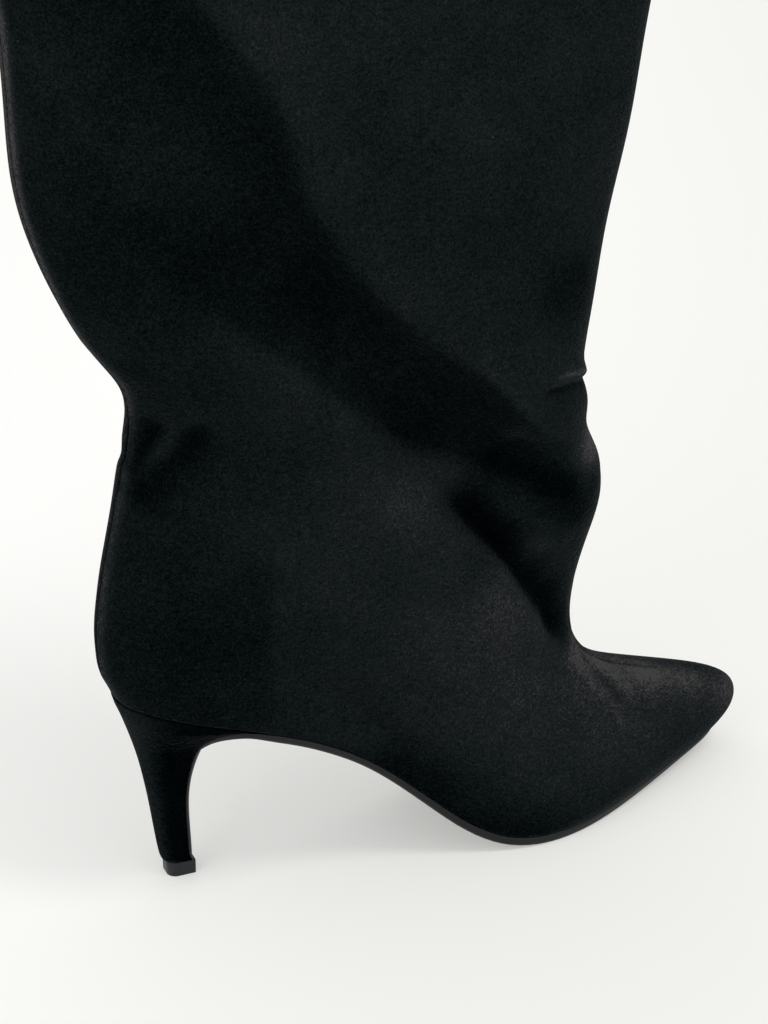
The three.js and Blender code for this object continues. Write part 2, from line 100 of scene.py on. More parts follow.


# Microsuede: knitted polyester whose face is sanded to a short nap. The nap lies in soft marks, looks
# near black straight on and catches pale light where it is seen edge on. The tone at each corner
# also carries painted highlight and painted shade on folds, seams and vamp. The real nap is finer
# than 0.3 mm, so it is drawn coarser to show. Scale inputs count patterns in a metre.
def makeSuede(name, offset, paintedShade):
    material, tree, shader = newMaterial(name)
    place = addNode(tree, "ShaderNodeTexCoord").outputs["Object"]
    moved = addNode(tree, "ShaderNodeMapping", {"Location": (offset, offset, 0)}, {"Vector": place})
    spot = moved.outputs[0]
    grain = addNode(tree, "ShaderNodeTexNoise", {"Scale": 1000 / suedeSizes["napGrain"], "Detail": 3.0,
                                                 "Roughness": 0.75}, {"Vector": spot})
    flat = addNode(tree, "ShaderNodeMapping", {"Scale": (1, 1, suedeSizes["pebbleFlatten"])},
                   {"Vector": spot})
    pebble = addNode(tree, "ShaderNodeTexNoise", {"Scale": 1000 / suedeSizes["pebble"], "Detail": 3.0,
                                                  "Roughness": 0.55}, {"Vector": flat.outputs[0]})
    cloud = addNode(tree, "ShaderNodeTexNoise", {"Scale": 1000 / suedeSizes["cloud"], "Detail": 5.0,
                                                 "Roughness": 0.6}, {"Vector": spot})
    napAndPaintedLight = addNode(tree, "ShaderNodeAttribute", attribute_name="napAndPaintedLight")
    # the attribute holds the nap's own marks together with painted highlight and painted shade
    # lying and standing nap: the listed marks with the cloud, the pebble and the fine grain on them
    total = napAndPaintedLight.outputs["Fac"]
    for pattern, amount in ((cloud, "cloudAmount"), (pebble, "pebbleAmount"), (grain, "grainAmount")):
        centred = addNode(tree, "ShaderNodeMath", {1: -0.5}, {0: pattern.outputs["Fac"]})
        scaled = addNode(tree, "ShaderNodeMath", {1: suedeSizes[amount]}, {0: centred.outputs[0]},
                         operation="MULTIPLY")
        total = addNode(tree, "ShaderNodeMath", links={0: total, 1: scaled.outputs[0]}).outputs[0]
    ramp = addNode(tree, "ShaderNodeValToRGB", links={"Fac": total})
    ramp.color_ramp.elements.remove(ramp.color_ramp.elements[1])
    for at, tone in suedeSizes["tones"]:
        element = ramp.color_ramp.elements[0] if at == 0 else ramp.color_ramp.elements.new(at)
        element.color = linear(tone)
    # a few pale specks of lint
    lint = addNode(tree, "ShaderNodeTexVoronoi",
                   {"Scale": suedeSizes["lintPerMetre"], "Randomness": 1.0}, {"Vector": spot})
    fleck = addNode(tree, "ShaderNodeMath", {1: suedeSizes["lintSize"]}, {0: lint.outputs["Distance"]},
                    operation="LESS_THAN")
    fewer = addNode(tree, "ShaderNodeMath", {1: suedeSizes["lintCloud"]}, {0: cloud.outputs["Fac"]},
                    operation="GREATER_THAN")
    dust = addNode(tree, "ShaderNodeMath", links={0: fleck.outputs[0], 1: fewer.outputs[0]},
                   operation="MULTIPLY")
    seam = addNode(tree, "ShaderNodeAttribute", attribute_name="seam")
    lintMix = addNode(tree, "ShaderNodeMix", {"B": linear(suedeSizes["lintColour"])},
                      {"Factor": dust.outputs[0], "A": ramp.outputs["Color"]}, data_type="RGBA")
    seamMix = addNode(tree, "ShaderNodeMix", {"B": linear(suedeSizes["seamColour"])},
                      {"Factor": seam.outputs["Fac"], "A": lintMix.outputs["Result"]}, data_type="RGBA")
    # painted shade: the whole cloth darkened by this factor, 0.9 on the heel cover under the boot
    paintedShadeMix = addNode(tree, "ShaderNodeMix", {"Factor": 1.0, "B": (paintedShade, paintedShade, paintedShade, 1)},
                       {"A": seamMix.outputs["Result"]}, data_type="RGBA", blend_type="MULTIPLY")
    tree.links.new(paintedShadeMix.outputs["Result"], shader.inputs["Base Color"])
    low = addNode(tree, "ShaderNodeBump",
                  {"Strength": suedeSizes["bump"], "Distance": mm(suedeSizes["pebbleHeight"])},
                  {"Height": pebble.outputs["Fac"]})
    fine = addNode(tree, "ShaderNodeBump",
                   {"Strength": suedeSizes["bump"], "Distance": mm(suedeSizes["grainHeight"])},
                   {"Height": grain.outputs["Fac"], "Normal": low.outputs[0]})
    tree.links.new(fine.outputs[0], shader.inputs["Normal"])
    shader.inputs["Roughness"].default_value = 0.95
    shader.inputs["IOR"].default_value = 1.45
    shader.inputs["Specular IOR Level"].default_value = 0.0
    shader.inputs["Sheen Weight"].default_value = suedeSizes["sheen"]
    shader.inputs["Sheen Roughness"].default_value = suedeSizes["sheenRoughness"]
    shader.inputs["Sheen Tint"].default_value = linear(suedeSizes["sheenTint"])
    return material


liningSizes = {"ribPitch": 2.37, "ribHeight": 0.15, "dark": "#0d0e0f", "pale": "#222426"}


# Warp-knit polyester lining: a smooth fine cloth with faint upright ribs. The real ribs are about 1 mm
# apart, so they are drawn coarser to show.
def makeLining():
    material, tree, shader = newMaterial("knitLining")
    place = addNode(tree, "ShaderNodeTexCoord").outputs["Object"]
    flat = addNode(tree, "ShaderNodeMapping", {"Rotation": (0, 0, math.radians(45))}, {"Vector": place})
    # a wave texture of scale 1 has a band every pi / 10
    ribScale = math.pi / 10 / mm(liningSizes["ribPitch"])
    rib = addNode(tree, "ShaderNodeTexWave", {"Scale": ribScale, "Distortion": 0.6, "Detail": 1.0},
                  {"Vector": flat.outputs[0]}, wave_type="BANDS", bands_direction="X")
    wear = addNode(tree, "ShaderNodeTexNoise", {"Scale": 30.0, "Detail": 4.0}, {"Vector": place})
    ramp = addNode(tree, "ShaderNodeValToRGB", links={"Fac": wear.outputs["Fac"]})
    ramp.color_ramp.elements[0].color = linear(liningSizes["dark"])
    ramp.color_ramp.elements[1].color = linear(liningSizes["pale"])
    bump = addNode(tree, "ShaderNodeBump",
                   {"Strength": 0.5, "Distance": mm(liningSizes["ribHeight"])},
                   {"Height": rib.outputs["Fac"]})
    tree.links.new(ramp.outputs["Color"], shader.inputs["Base Color"])
    tree.links.new(bump.outputs[0], shader.inputs["Normal"])
    shader.inputs["Roughness"].default_value = 0.7
    return material


sockSizes = {"grain": 1.1, "grainHeight": 0.2, "dark": "#121313", "pale": "#2a2a2a"}


# Sock lining: coated polyurethane leather over foam, softly grained with a dull gloss.
def makeSock():
    material, tree, shader = newMaterial("sockLeatherette")
    place = addNode(tree, "ShaderNodeTexCoord").outputs["Object"]
    grain = addNode(tree, "ShaderNodeTexVoronoi", {"Scale": 1000 / sockSizes["grain"]}, {"Vector": place},
                    feature="DISTANCE_TO_EDGE")
    wear = addNode(tree, "ShaderNodeTexNoise", {"Scale": 40.0, "Detail": 5.0}, {"Vector": place})
    ramp = addNode(tree, "ShaderNodeValToRGB", links={"Fac": wear.outputs["Fac"]})
    ramp.color_ramp.elements[0].color = linear(sockSizes["dark"])
    ramp.color_ramp.elements[1].color = linear(sockSizes["pale"])
    bump = addNode(tree, "ShaderNodeBump",
                   {"Strength": 0.4, "Distance": mm(sockSizes["grainHeight"])},
                   {"Height": grain.outputs["Distance"]})
    tree.links.new(ramp.outputs["Color"], shader.inputs["Base Color"])
    tree.links.new(bump.outputs[0], shader.inputs["Normal"])
    shader.inputs["Roughness"].default_value = 0.55
    return material


rubberSizes = {
    "pimple": 2.2,
    "pimpleHeight": 0.35,
    "skin": 0.9,
    "skinHeight": 0.05,
    "dark": "#05080a",
    "pale": "#0f1518",
    "specular": 0.3,
}


# Thermoplastic rubber, moulded and trimmed: dense black, satin on its trimmed edge and finely
# pimpled underneath, with faint scuffs.
def makeSoleRubber():
    material, tree, shader = newMaterial("trimmedSoleRubber")
    place = addNode(tree, "ShaderNodeTexCoord").outputs["Object"]
    facing = addNode(tree, "ShaderNodeNewGeometry")
    split = addNode(tree, "ShaderNodeSeparateXYZ", links={0: facing.outputs["Normal"]})
    under = addNode(tree, "ShaderNodeMapRange", {"From Min": -0.35, "From Max": -0.75},
                    {"Value": split.outputs["Z"]})
    cloud = addNode(tree, "ShaderNodeTexNoise", {"Scale": 120.0, "Detail": 6.0, "Roughness": 0.65},
                    {"Vector": place})
    flatten = addNode(tree, "ShaderNodeMapping", {"Scale": (1, 1, 0.02)}, {"Vector": place})
    pimple = addNode(tree, "ShaderNodeTexVoronoi",
                     {"Scale": 1000 / rubberSizes["pimple"], "Randomness": 0.0},
                     {"Vector": flatten.outputs[0]}, feature="F1")
    dots = addNode(tree, "ShaderNodeMapRange", {"From Min": 0.42, "From Max": 0.2},
                   {"Value": pimple.outputs["Distance"]})
    dotsUnder = addNode(tree, "ShaderNodeMath", links={0: dots.outputs[0], 1: under.outputs[0]},
                        operation="MULTIPLY")
    ramp = addNode(tree, "ShaderNodeValToRGB", links={"Fac": cloud.outputs["Fac"]})
    ramp.color_ramp.elements[0].position = 0.35
    ramp.color_ramp.elements[0].color = linear(rubberSizes["dark"])
    ramp.color_ramp.elements[1].position = 0.8
    ramp.color_ramp.elements[1].color = linear(rubberSizes["pale"])
    gloss = addNode(tree, "ShaderNodeMapRange", {"To Min": 0.24, "To Max": 0.44},
                    {"Value": cloud.outputs["Fac"]})
    dull = addNode(tree, "ShaderNodeMath", {1: 0.25}, {0: under.outputs[0]}, operation="MULTIPLY")
    rough = addNode(tree, "ShaderNodeMath", links={0: gloss.outputs[0], 1: dull.outputs[0]})
    fine = addNode(tree, "ShaderNodeTexNoise", {"Scale": 1000 / rubberSizes["skin"], "Detail": 2.0},
                   {"Vector": place})
    skin = addNode(tree, "ShaderNodeBump",
                   {"Strength": 0.3, "Distance": mm(rubberSizes["skinHeight"])},
                   {"Height": fine.outputs["Fac"]})
    bump = addNode(tree, "ShaderNodeBump",
                   {"Strength": 0.8, "Distance": mm(rubberSizes["pimpleHeight"])},
                   {"Height": dotsUnder.outputs[0], "Normal": skin.outputs[0]})
    tree.links.new(ramp.outputs["Color"], shader.inputs["Base Color"])
    tree.links.new(rough.outputs[0], shader.inputs["Roughness"])
    tree.links.new(bump.outputs[0], shader.inputs["Normal"])
    shader.inputs["IOR"].default_value = 1.48
    shader.inputs["Specular IOR Level"].default_value = rubberSizes["specular"]
    return material


plasticSizes = {"scuffHeight": 0.08, "dark": "#0a0e10", "pale": "#1e2326", "specular": 0.3}


# Moulded thermoplastic polyurethane: the hard top lift, dark grey with a half gloss and fine scuffs.
def makeLiftPlastic():
    material, tree, shader = newMaterial("mouldedLiftPolyurethane")
    place = addNode(tree, "ShaderNodeTexCoord").outputs["Object"]
    scuff = addNode(tree, "ShaderNodeTexNoise", {"Scale": 420.0, "Detail": 6.0, "Roughness": 0.7},
                    {"Vector": place})
    ramp = addNode(tree, "ShaderNodeValToRGB", links={"Fac": scuff.outputs["Fac"]})
    ramp.color_ramp.elements[0].position = 0.3
    ramp.color_ramp.elements[0].color = linear(plasticSizes["dark"])
    ramp.color_ramp.elements[1].position = 0.8
    ramp.color_ramp.elements[1].color = linear(plasticSizes["pale"])
    gloss = addNode(tree, "ShaderNodeMapRange", {"To Min": 0.28, "To Max": 0.5},
                    {"Value": scuff.outputs["Fac"]})
    bump = addNode(tree, "ShaderNodeBump",
                   {"Strength": 0.3, "Distance": mm(plasticSizes["scuffHeight"])},
                   {"Height": scuff.outputs["Fac"]})
    tree.links.new(ramp.outputs["Color"], shader.inputs["Base Color"])
    tree.links.new(gloss.outputs[0], shader.inputs["Roughness"])
    tree.links.new(bump.outputs[0], shader.inputs["Normal"])
    shader.inputs["IOR"].default_value = 1.5
    shader.inputs["Specular IOR Level"].default_value = plasticSizes["specular"]
    return material


threadSizes = {"plyPitch": 0.748, "dark": "#121415", "pale": "#2a2d2f"}


# Spun polyester thread, a little paler than the cloth that it holds, with its twist showing.
def makeThread():
    material, tree, shader = newMaterial("spunThread")
    place = addNode(tree, "ShaderNodeTexCoord").outputs["Object"]
    plyScale = math.pi / 10 / mm(threadSizes["plyPitch"])
    ply = addNode(tree, "ShaderNodeTexWave", {"Scale": plyScale, "Distortion": 1.0}, {"Vector": place},
                  bands_direction="DIAGONAL")
    ramp = addNode(tree, "ShaderNodeValToRGB", links={"Fac": ply.outputs["Fac"]})
    ramp.color_ramp.elements[0].color = linear(threadSizes["dark"])
    ramp.color_ramp.elements[1].color = linear(threadSizes["pale"])
    tree.links.new(ramp.outputs["Color"], shader.inputs["Base Color"])
    shader.inputs["Roughness"].default_value = 0.6
    return material


upperSuede = makeSuede("blackMicrosuede", 0.0, 1.0)
# the heel cover's copy of the cloth is darkened to 0.9 as painted shade
heelSuede = makeSuede("heelCoverMicrosuede", 0.31, 0.9)
lining = makeLining()
sock = makeSock()
soleRubber = makeSoleRubber()
liftPlastic = makeLiftPlastic()
thread = makeThread()


joinSizes = {"gap": 0.02, "faceTurn": 40, "shapeTurn": 75}


# A CAD node's loose triangles joined into one skin of mostly four-sided faces.
def mergedCopy(node):
    shape = bmesh.new()
    shape.from_mesh(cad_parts[node].data)
    bmesh.ops.remove_doubles(shape, verts=shape.verts, dist=mm(joinSizes["gap"]))
    bmesh.ops.join_triangles(shape, faces=shape.faces,
                             angle_face_threshold=math.radians(joinSizes["faceTurn"]),
                             angle_shape_threshold=math.radians(joinSizes["shapeTurn"]))
    shape.normal_update()
    return shape


# Holds the edges that turn by more than an angle when the skin is rounded by subdivision.
def keepEdges(shape, turn, hold):
    layer = shape.edges.layers.float.get("crease_edge") or shape.edges.layers.float.new("crease_edge")
    for edge in shape.edges:
        if len(edge.link_faces) == 2 and edge.calc_face_angle(0) > math.radians(turn):
            edge[layer] = hold


# Makes a skin into a visible piece on the root body, in place of a CAD node where one is named.
def finishPiece(name, shape, materials, node):
    mesh = bpy.data.meshes.new(name)
    print("  ", name, sum(len(face.verts) - 2 for face in shape.faces), "triangles")
    shape.to_mesh(mesh)
    shape.free()
    mesh.polygons.foreach_set("use_smooth", [True] * len(mesh.polygons))
    for material in materials:
        mesh.materials.append(material)
    piece = bpy.data.objects.new(name, mesh)
    scene.collection.objects.link(piece)
    if node:
        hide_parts(node)
    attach(piece, "root")
    return piece


# A skin rounded by a subdivision modifier.
def subdivided(shape, levels):
    mesh = bpy.data.meshes.new("work")
    shape.to_mesh(mesh)
    shape.free()
    work = bpy.data.objects.new("work", mesh)
    scene.collection.objects.link(work)
    smoother = work.modifiers.new("smoother", "SUBSURF")
    smoother.levels = smoother.render_levels = levels
    smoother.use_limit_surface = False
    bpy.context.view_layer.update()
    made = bpy.data.meshes.new_from_object(work.evaluated_get(bpy.context.evaluated_depsgraph_get()))
    result = bmesh.new()
    result.from_mesh(made)
    bpy.data.objects.remove(work)
    bpy.data.meshes.remove(mesh)
    bpy.data.meshes.remove(made)
    return result


print("upper")

# Creases of the leg in side view, in mm: height is the rise of a ridge or, below zero, the fall of a
# trough. above and below are how far it spreads over and under its line. tone, where given, is how much
# paler a ridge and darker a trough is painted per mm of height, as painted highlight and painted shade.
outerCreases = [
    {"path": [(-34, 392), (-12, 356), (8, 323), (28, 295), (38, 265), (50, 241), (69, 218), (83, 204),
              (101, 190), (115, 175), (126, 164), (136, 155), (148, 145)], "height": 2.6, "above": 22,
     "below": 4.5},
    {"path": [(-14, 344), (6, 310), (24, 281), (34, 250), (47, 226), (64, 206), (80, 189), (98, 172),
              (118, 154), (140, 137)], "height": -2.2, "above": 6, "below": 20},
    {"path": [(62, 188), (72, 174), (84, 165), (99, 158), (113, 149), (132, 137)], "height": -3.2,
     "above": 9, "below": 4.5},
    {"path": [(-24, 250), (-10, 233), (4, 221), (16, 211), (32, 199), (46, 186), (60, 173), (72, 165)],
     "height": 2.2, "above": 5, "below": 14},
    {"path": [(86, 148), (97, 138), (106, 127), (118, 112), (129, 95), (141, 77), (151, 64)],
     "height": -3.4, "above": 7, "below": 4},
    {"path": [(78, 140), (96, 127), (112, 112), (128, 92), (142, 72)], "height": 1.5,
     "above": 3.5, "below": 10},
    {"path": [(111, 160), (136, 148), (152, 131)], "height": -2.2, "above": 6, "below": 6},
    {"path": [(112, 130), (128, 124), (145, 112)], "height": 1.2, "above": 6, "below": 6},
    {"path": [(-14, 161), (-10, 170), (-7, 176), (-4, 182)], "height": -2.0, "above": 3, "below": 3},
    {"path": [(-12, 159), (-5, 170), (2, 180)], "height": 1.4, "above": 3, "below": 3},
    {"path": [(-15, 151), (-8.5, 161), (-2, 168), (4, 174), (10, 182)], "height": -2.2, "above": 3.5,
     "below": 3.5},
    {"path": [(122, 181), (137, 178.5), (146, 175.5), (154, 172.5)], "height": 1.6,
     "above": 3.0, "below": 1.6},
    {"path": [(122, 177), (136, 174.5), (146, 171.5), (153, 169)], "height": -1.4,
     "above": 1.6, "below": 4},
    {"path": [(150, 60), (158, 50), (166, 38), (170, 30)], "height": 0.5, "above": 2.5, "below": 2.5,
     "tone": 0.2},
    {"path": [(156, 58), (165, 47), (173, 37)], "height": -0.5, "above": 2, "below": 2, "tone": 0.24},
    {"path": [(161, 55), (170, 46), (179, 37)], "height": 0.45, "above": 2, "below": 2, "tone": 0.24},
    {"path": [(166, 53), (176, 44), (184, 37)], "height": -0.4, "above": 1.8, "below": 1.8,
     "tone": 0.24},
]
innerCreases = [
    {"path": [(2, 318), (30, 285), (62, 250), (98, 218), (134, 186), (150, 170)], "height": 2.6,
     "above": 18, "below": 6},
    {"path": [(-6, 262), (30, 226), (66, 194), (104, 166), (140, 142)], "height": -2.8,
     "above": 7, "below": 14},
    {"path": [(-20, 206), (8, 196), (40, 180), (70, 164)], "height": 1.8, "above": 5, "below": 12},
    {"path": [(78, 150), (104, 128), (128, 98), (148, 70)], "height": -3.2, "above": 7, "below": 4.5},
    {"path": [(-14, 160), (0, 172), (18, 180)], "height": -2.0, "above": 3.5, "below": 3.5},
    {"path": [(110, 182), (130, 180), (152, 173)], "height": 1.4, "above": 3, "below": 2},
]

# Painted highlight or, below zero, painted shade along lines in side view, in mm, over the nap's own
# tone: paler on fold crests and over the vamp, darker under folds, in troughs and low over the arch.
paintedLightAndShadeLines = [
    {"path": [(-34, 392), (-12, 356), (8, 323), (28, 295), (38, 265), (50, 241), (69, 218), (83, 204),
              (99, 190), (116, 171), (136, 152)], "lift": -0.15, "above": 3.0, "below": 70},
    {"path": [(38, 265), (50, 241), (69, 218), (83, 204), (99, 190), (116, 171), (136, 152)],
     "lift": -0.06, "above": 1.2, "below": 18},
    {"path": [(-12, 356), (8, 323), (28, 295), (38, 265), (50, 241), (69, 218), (83, 204),
              (101, 190), (115, 175), (126, 164), (136, 156), (148, 147)], "lift": 0.13, "above": 3,
     "below": 1.6},
    {"path": [(2, 226), (17, 213), (32, 200), (46, 187), (60, 174)], "lift": 0.13, "above": 4,
     "below": 11},
    {"path": [(64, 181), (72, 173), (84, 164), (99, 157), (113, 149), (132, 137), (150, 128)],
     "lift": -0.14, "above": 11, "below": 2.6},
    {"path": [(90, 146), (98, 138), (106, 128), (118, 113), (128, 97), (138, 82), (147, 69), (154, 61)],
     "lift": -0.48, "above": 9, "below": 3},
    {"path": [(104, 153), (120, 146), (135, 139), (150, 132)], "lift": -0.2, "above": 7, "below": 9},
    {"path": [(-16, 159), (-11, 168), (-7.5, 175), (-4, 182)], "lift": -0.3, "above": 4, "below": 2.5},
    {"path": [(-13, 158), (-5, 169), (1, 177)], "lift": 0.08, "above": 3, "below": 3},
    {"path": [(-16, 149), (-9, 160), (-2, 167.5), (4, 174), (10, 182)], "lift": -0.26, "above": 3.5,
     "below": 8},
    {"path": [(130, 180.5), (138, 179), (147, 176), (154, 173)], "lift": 0.4, "above": 1.2,
     "below": 0.9},
    {"path": [(126, 177), (136, 175), (146, 172), (153, 169)], "lift": -0.14, "above": 0.9,
     "below": 2.5},
    {"path": [(28, 140), (28, 118), (27, 91), (26, 62)], "lift": -0.1, "above": 1.4, "below": 18},
    {"path": [(60, 50), (74, 39), (90, 25), (104, 12), (122, 6), (142, 8)], "lift": -0.26,
     "above": 13, "below": 8},
    {"path": [(148, 68), (158, 58), (169, 50), (182, 44), (198, 39), (213, 36), (224, 30)], "lift": 0.25,
     "above": 8, "below": 7},
    {"path": [(180, 44), (198, 39), (214, 34)], "lift": 0.07, "above": 8, "below": 5},
]

# Soft round marks in side view, in mm: partly the nap's own paler and darker marks, partly painted
# highlight and painted shade over folds and the vamp.
napAndPaintedLightMarks = [
    {"at": (95, 260), "reach": 50, "lift": 0.05},
    {"at": (153, 145), "reach": 9, "lift": 0.46},
    {"at": (139, 130), "reach": 12, "lift": -0.24},
    {"at": (146, 122), "reach": 6, "lift": -0.2},
    {"at": (-18, 244), "reach": 24, "lift": -0.17},
    {"at": (8, 234), "reach": 18, "lift": -0.13},
    {"at": (96, 228), "reach": 36, "lift": -0.1},
    {"at": (62, 262), "reach": 26, "lift": -0.08},
    {"at": (60, 160), "reach": 16, "lift": 0.1},
    {"at": (139, 210), "reach": 16, "lift": -0.2},
    {"at": (-2, 92), "reach": 28, "lift": -0.24},
    {"at": (92, 90), "reach": 30, "lift": 0.05},
    {"at": (-8, 135), "reach": 22, "lift": -0.14},
    {"at": (12, 204), "reach": 14, "lift": -0.1},
    {"at": (-18, 198), "reach": 10, "lift": -0.16},
    {"at": (129, 114), "reach": 8, "lift": 0.24},
    {"at": (142, 92), "reach": 7, "lift": -0.16},
    {"at": (112, 100), "reach": 12, "lift": 0.1},
    {"at": (70, 128), "reach": 34, "lift": 0.08},
    {"at": (76, 148), "reach": 18, "lift": 0.22},
    {"at": (96, 156), "reach": 8, "lift": 0.14},
    {"at": (120, 78), "reach": 30, "lift": 0.2},
    {"at": (64, 58), "reach": 16, "lift": 0.04},
    {"at": (162, 42), "reach": 24, "lift": 0.13},
    {"at": (200, 31), "reach": 24, "lift": 0.13},
    {"at": (194, 28), "reach": 11, "lift": -0.08},
    {"at": (181, 31), "reach": 18, "lift": 0.07},
    {"at": (200, 41), "reach": 14, "lift": 0.03},
    {"at": (38, 128), "reach": 18, "lift": 0.07},
    {"at": (38, 217), "reach": 16, "lift": -0.1},
    {"at": (226, 24), "reach": 9, "lift": 0.34},
    {"at": (140, 50), "reach": 28, "lift": 0.1},
]

# Lengths in mm. A fade is the length over which something sets in.
upperSizes = {
    "levels": 2,
    "collar": 420,
    "collarFade": 4,
    "turnedEdge": 5,
    "liningTurn": 48,
    "easing": 22,  # turns of easing
    "easingShares": (0.5, -0.52),
    "arch": {"turns": 30, "share": 0.5, "back": 38, "front": 118, "above": 3, "top": 85},
    "bottom": {"ball": 3.5, "rise": 55, "front": 122, "length": 90, "seat": 40, "slope": 0.3,
               "fade": 9, "start": 0.25},
    "fine": {"reach": 6, "share": 0.3, "side": 2},
    "creaseFade": 0.22,  # share of a crease's length
    "creaseStart": 0.15,
    "swell": 0.45,
    "napBase": 0.5,
    # painted highlight and painted shade per mm of a crease's height
    "outerPaintedFoldLight": 0.02,
    "innerPaintedFoldLight": 0.05,
    "sideStart": 3.4,
    "sideFade": 7,
    "markSide": 6,
    "markFade": 10,
    "wave": {"height": 0.8, "length": 74, "slant": 0.5, "slower": 0.55, "cross": 1.1, "across": 30,
             "from": 150, "rise": 80, "to": 430, "fall": 40},
    "seamEnd": 196,
    "seamFade": 8,
    "seamCuts": (0, 0.5, 1.1, 1.9, 3.0),
    "seamDepth": 0.7,
    "seamHalf": 0.6,
    "lipHeight": 0.35,
    "lipAt": 1.9,
    "lipHalf": 0.9,
    "vamp": {"seam": 0.4, "top": 90, "fade": 20, "back": 100},
    "rimAt": 2.6,
    "rimHalf": 3.6,
    "backPaintedSheen": 0.54,
    "lowPaintedSheen": 0.38,
    "lowTop": 230,
    "lowFade": 60,
    "backEnd": 60,
    "frontPaintedSheen": 0.12,
}


# From 0 to 1 and level at both ends.
def smoothRise(value):
    share = np.clip(value, 0, 1)
    return share * share * (3 - 2 * share)


# Corners of a smooth line through a crease's points.
def creaseLine(points, parts=5):
    ends = [points[0], *points, points[-1]]
    line = []
    for a, b, c, d in zip(ends, ends[1:], ends[2:], ends[3:]):
        for i in range(parts):
            t = i / parts
            line.append(tuple(0.5 * (2 * q + (r - p) * t + (2 * p - 5 * q + 4 * r - s) * t * t
                                     + (3 * q - p - 3 * r + s) * t ** 3)
                              for p, q, r, s in zip(a, b, c, d)))
    line.append(points[-1])
    return np.array(line)


# How much of a crease each place feels, from 0 to 1, by its distance from the line in side view.
def creaseShare(crease, places):
    line = creaseLine(crease["path"])
    lengths = np.hypot(*(line[1:] - line[:-1]).T)
    walked = np.concatenate([[0], np.cumsum(lengths)])
    nearest = np.full(len(places), np.inf)
    above = np.zeros(len(places), bool)
    along = np.zeros(len(places))
    for a, b, length, start in zip(line, line[1:], lengths, walked):
        way = (b - a) / length
        offset = places - a
        t = np.clip(offset @ way, 0, length)
        gapX, gapZ = (offset - t[:, None] * way).T
        distance = np.hypot(gapX, gapZ)
        closer = distance < nearest
        nearest[closer] = distance[closer]
        above[closer] = (gapZ * way[0] - gapX * way[1] > 0)[closer]
        along[closer] = ((start + t) / walked[-1])[closer]
    reach = np.where(above, crease["above"], crease["below"])
    ends = np.minimum(along, 1 - along) / upperSizes["creaseFade"] + upperSizes["creaseStart"]
    return np.exp(-(nearest / reach) ** 2) * smoothRise(ends)


# Height of the upper's bottom edge along the foot, in mm.
def bottomEdge(x):
    edge = upperSizes["bottom"]
    return (edge["ball"] + edge["rise"] * smoothRise((edge["front"] - x) / edge["length"])
            + edge["slope"] * np.maximum(edge["seat"] - x, 0))


# The cloth is index 0 and the lining 1: the cloth is found by spreading out from the toe up to the
# upper's two rims, and what it doesn't reach is the skin inside the wall.
def markLining(shape):
    for face in shape.faces:
        face.material_index = 1
    toe = max(shape.faces, key=lambda face: face.calc_center_median().x)
    waiting = [toe]
    toe.material_index = 0
    while waiting:
        face = waiting.pop()
        for edge in face.edges:
            if edge.calc_face_angle(0) < math.radians(upperSizes["liningTurn"]):
                for other in edge.link_faces:
                    if other.material_index == 1:
                        other.material_index = 0
                        waiting.append(other)


# Lets the chosen cloth lie in easy curves: each corner is drawn toward its neighbours' middle, and a
# share below zero lets it back out, so the small steps go and the form stays.
def easeCloth(shape, turns, shares, chosen):
    shape.verts.index_update()
    places = np.array([corner.co for corner in shape.verts])
    pairs = np.array([[corner.index for corner in edge.verts] for edge in shape.edges])
    free = np.array([chosen(corner.co) and all(face.material_index == 0 for face in corner.link_faces)
                     for corner in shape.verts])
    counts = np.bincount(pairs.ravel(), minlength=len(places))[:, None]
    for turn in range(turns):
        for share in shares:
            total = np.zeros_like(places)
            np.add.at(total, pairs[:, 0], places[pairs[:, 1]])
            np.add.at(total, pairs[:, 1], places[pairs[:, 0]])
            places[free] += share * (total / counts - places)[free]
    for corner, place in zip(shape.verts, places):
        corner.co = place


# Smooths away the solid's step over the arch, and keeps the cloth's bottom edge.
def easeArch(shape):
    arch = upperSizes["arch"]

    def chosen(place):
        return (mm(arch["back"]) < place.x < mm(arch["front"])
                and mm(bottomEdge(place.x * 1000) + arch["above"]) < place.z < mm(arch["top"]))

    easeCloth(shape, arch["turns"], (arch["share"],), chosen)


# Finer cuts beside the seams at back and front centre.
def cutSeams(shape):
    for cut in upperSizes["seamCuts"]:
        for side in ((-1, 1) if cut else (1,)):
            cloth = [face for face in shape.faces if face.material_index == 0]
            around = list({edge for face in cloth for edge in face.edges})
            corners = list({corner for face in cloth for corner in face.verts})
            bmesh.ops.bisect_plane(shape, geom=cloth + around + corners, dist=mm(joinSizes["gap"]),
                                   plane_co=(0, mm(cut * side), 0), plane_no=(0, 1, 0))


# Finer faces along the creases of the outer side.
def refineCreases(shape):
    fine = upperSizes["fine"]
    shape.faces.ensure_lookup_table()
    centres = np.array([face.calc_center_median() for face in shape.faces]) * 1000
    near = np.zeros(len(centres))
    for crease in outerCreases:
        tight = {**crease, "above": min(crease["above"], fine["reach"]),
                 "below": min(crease["below"], fine["reach"])}
        near = np.maximum(near, creaseShare(tight, centres[:, [0, 2]]))
    edges = {edge for face, share, centre in zip(shape.faces, near, centres)
             if share > fine["share"] and centre[1] < fine["side"] and face.material_index == 0
             for edge in face.edges}
    bmesh.ops.subdivide_edges(shape, edges=list(edges), cuts=1, use_grid_fill=True)
    shape.normal_update()
    shape.verts.ensure_lookup_table()
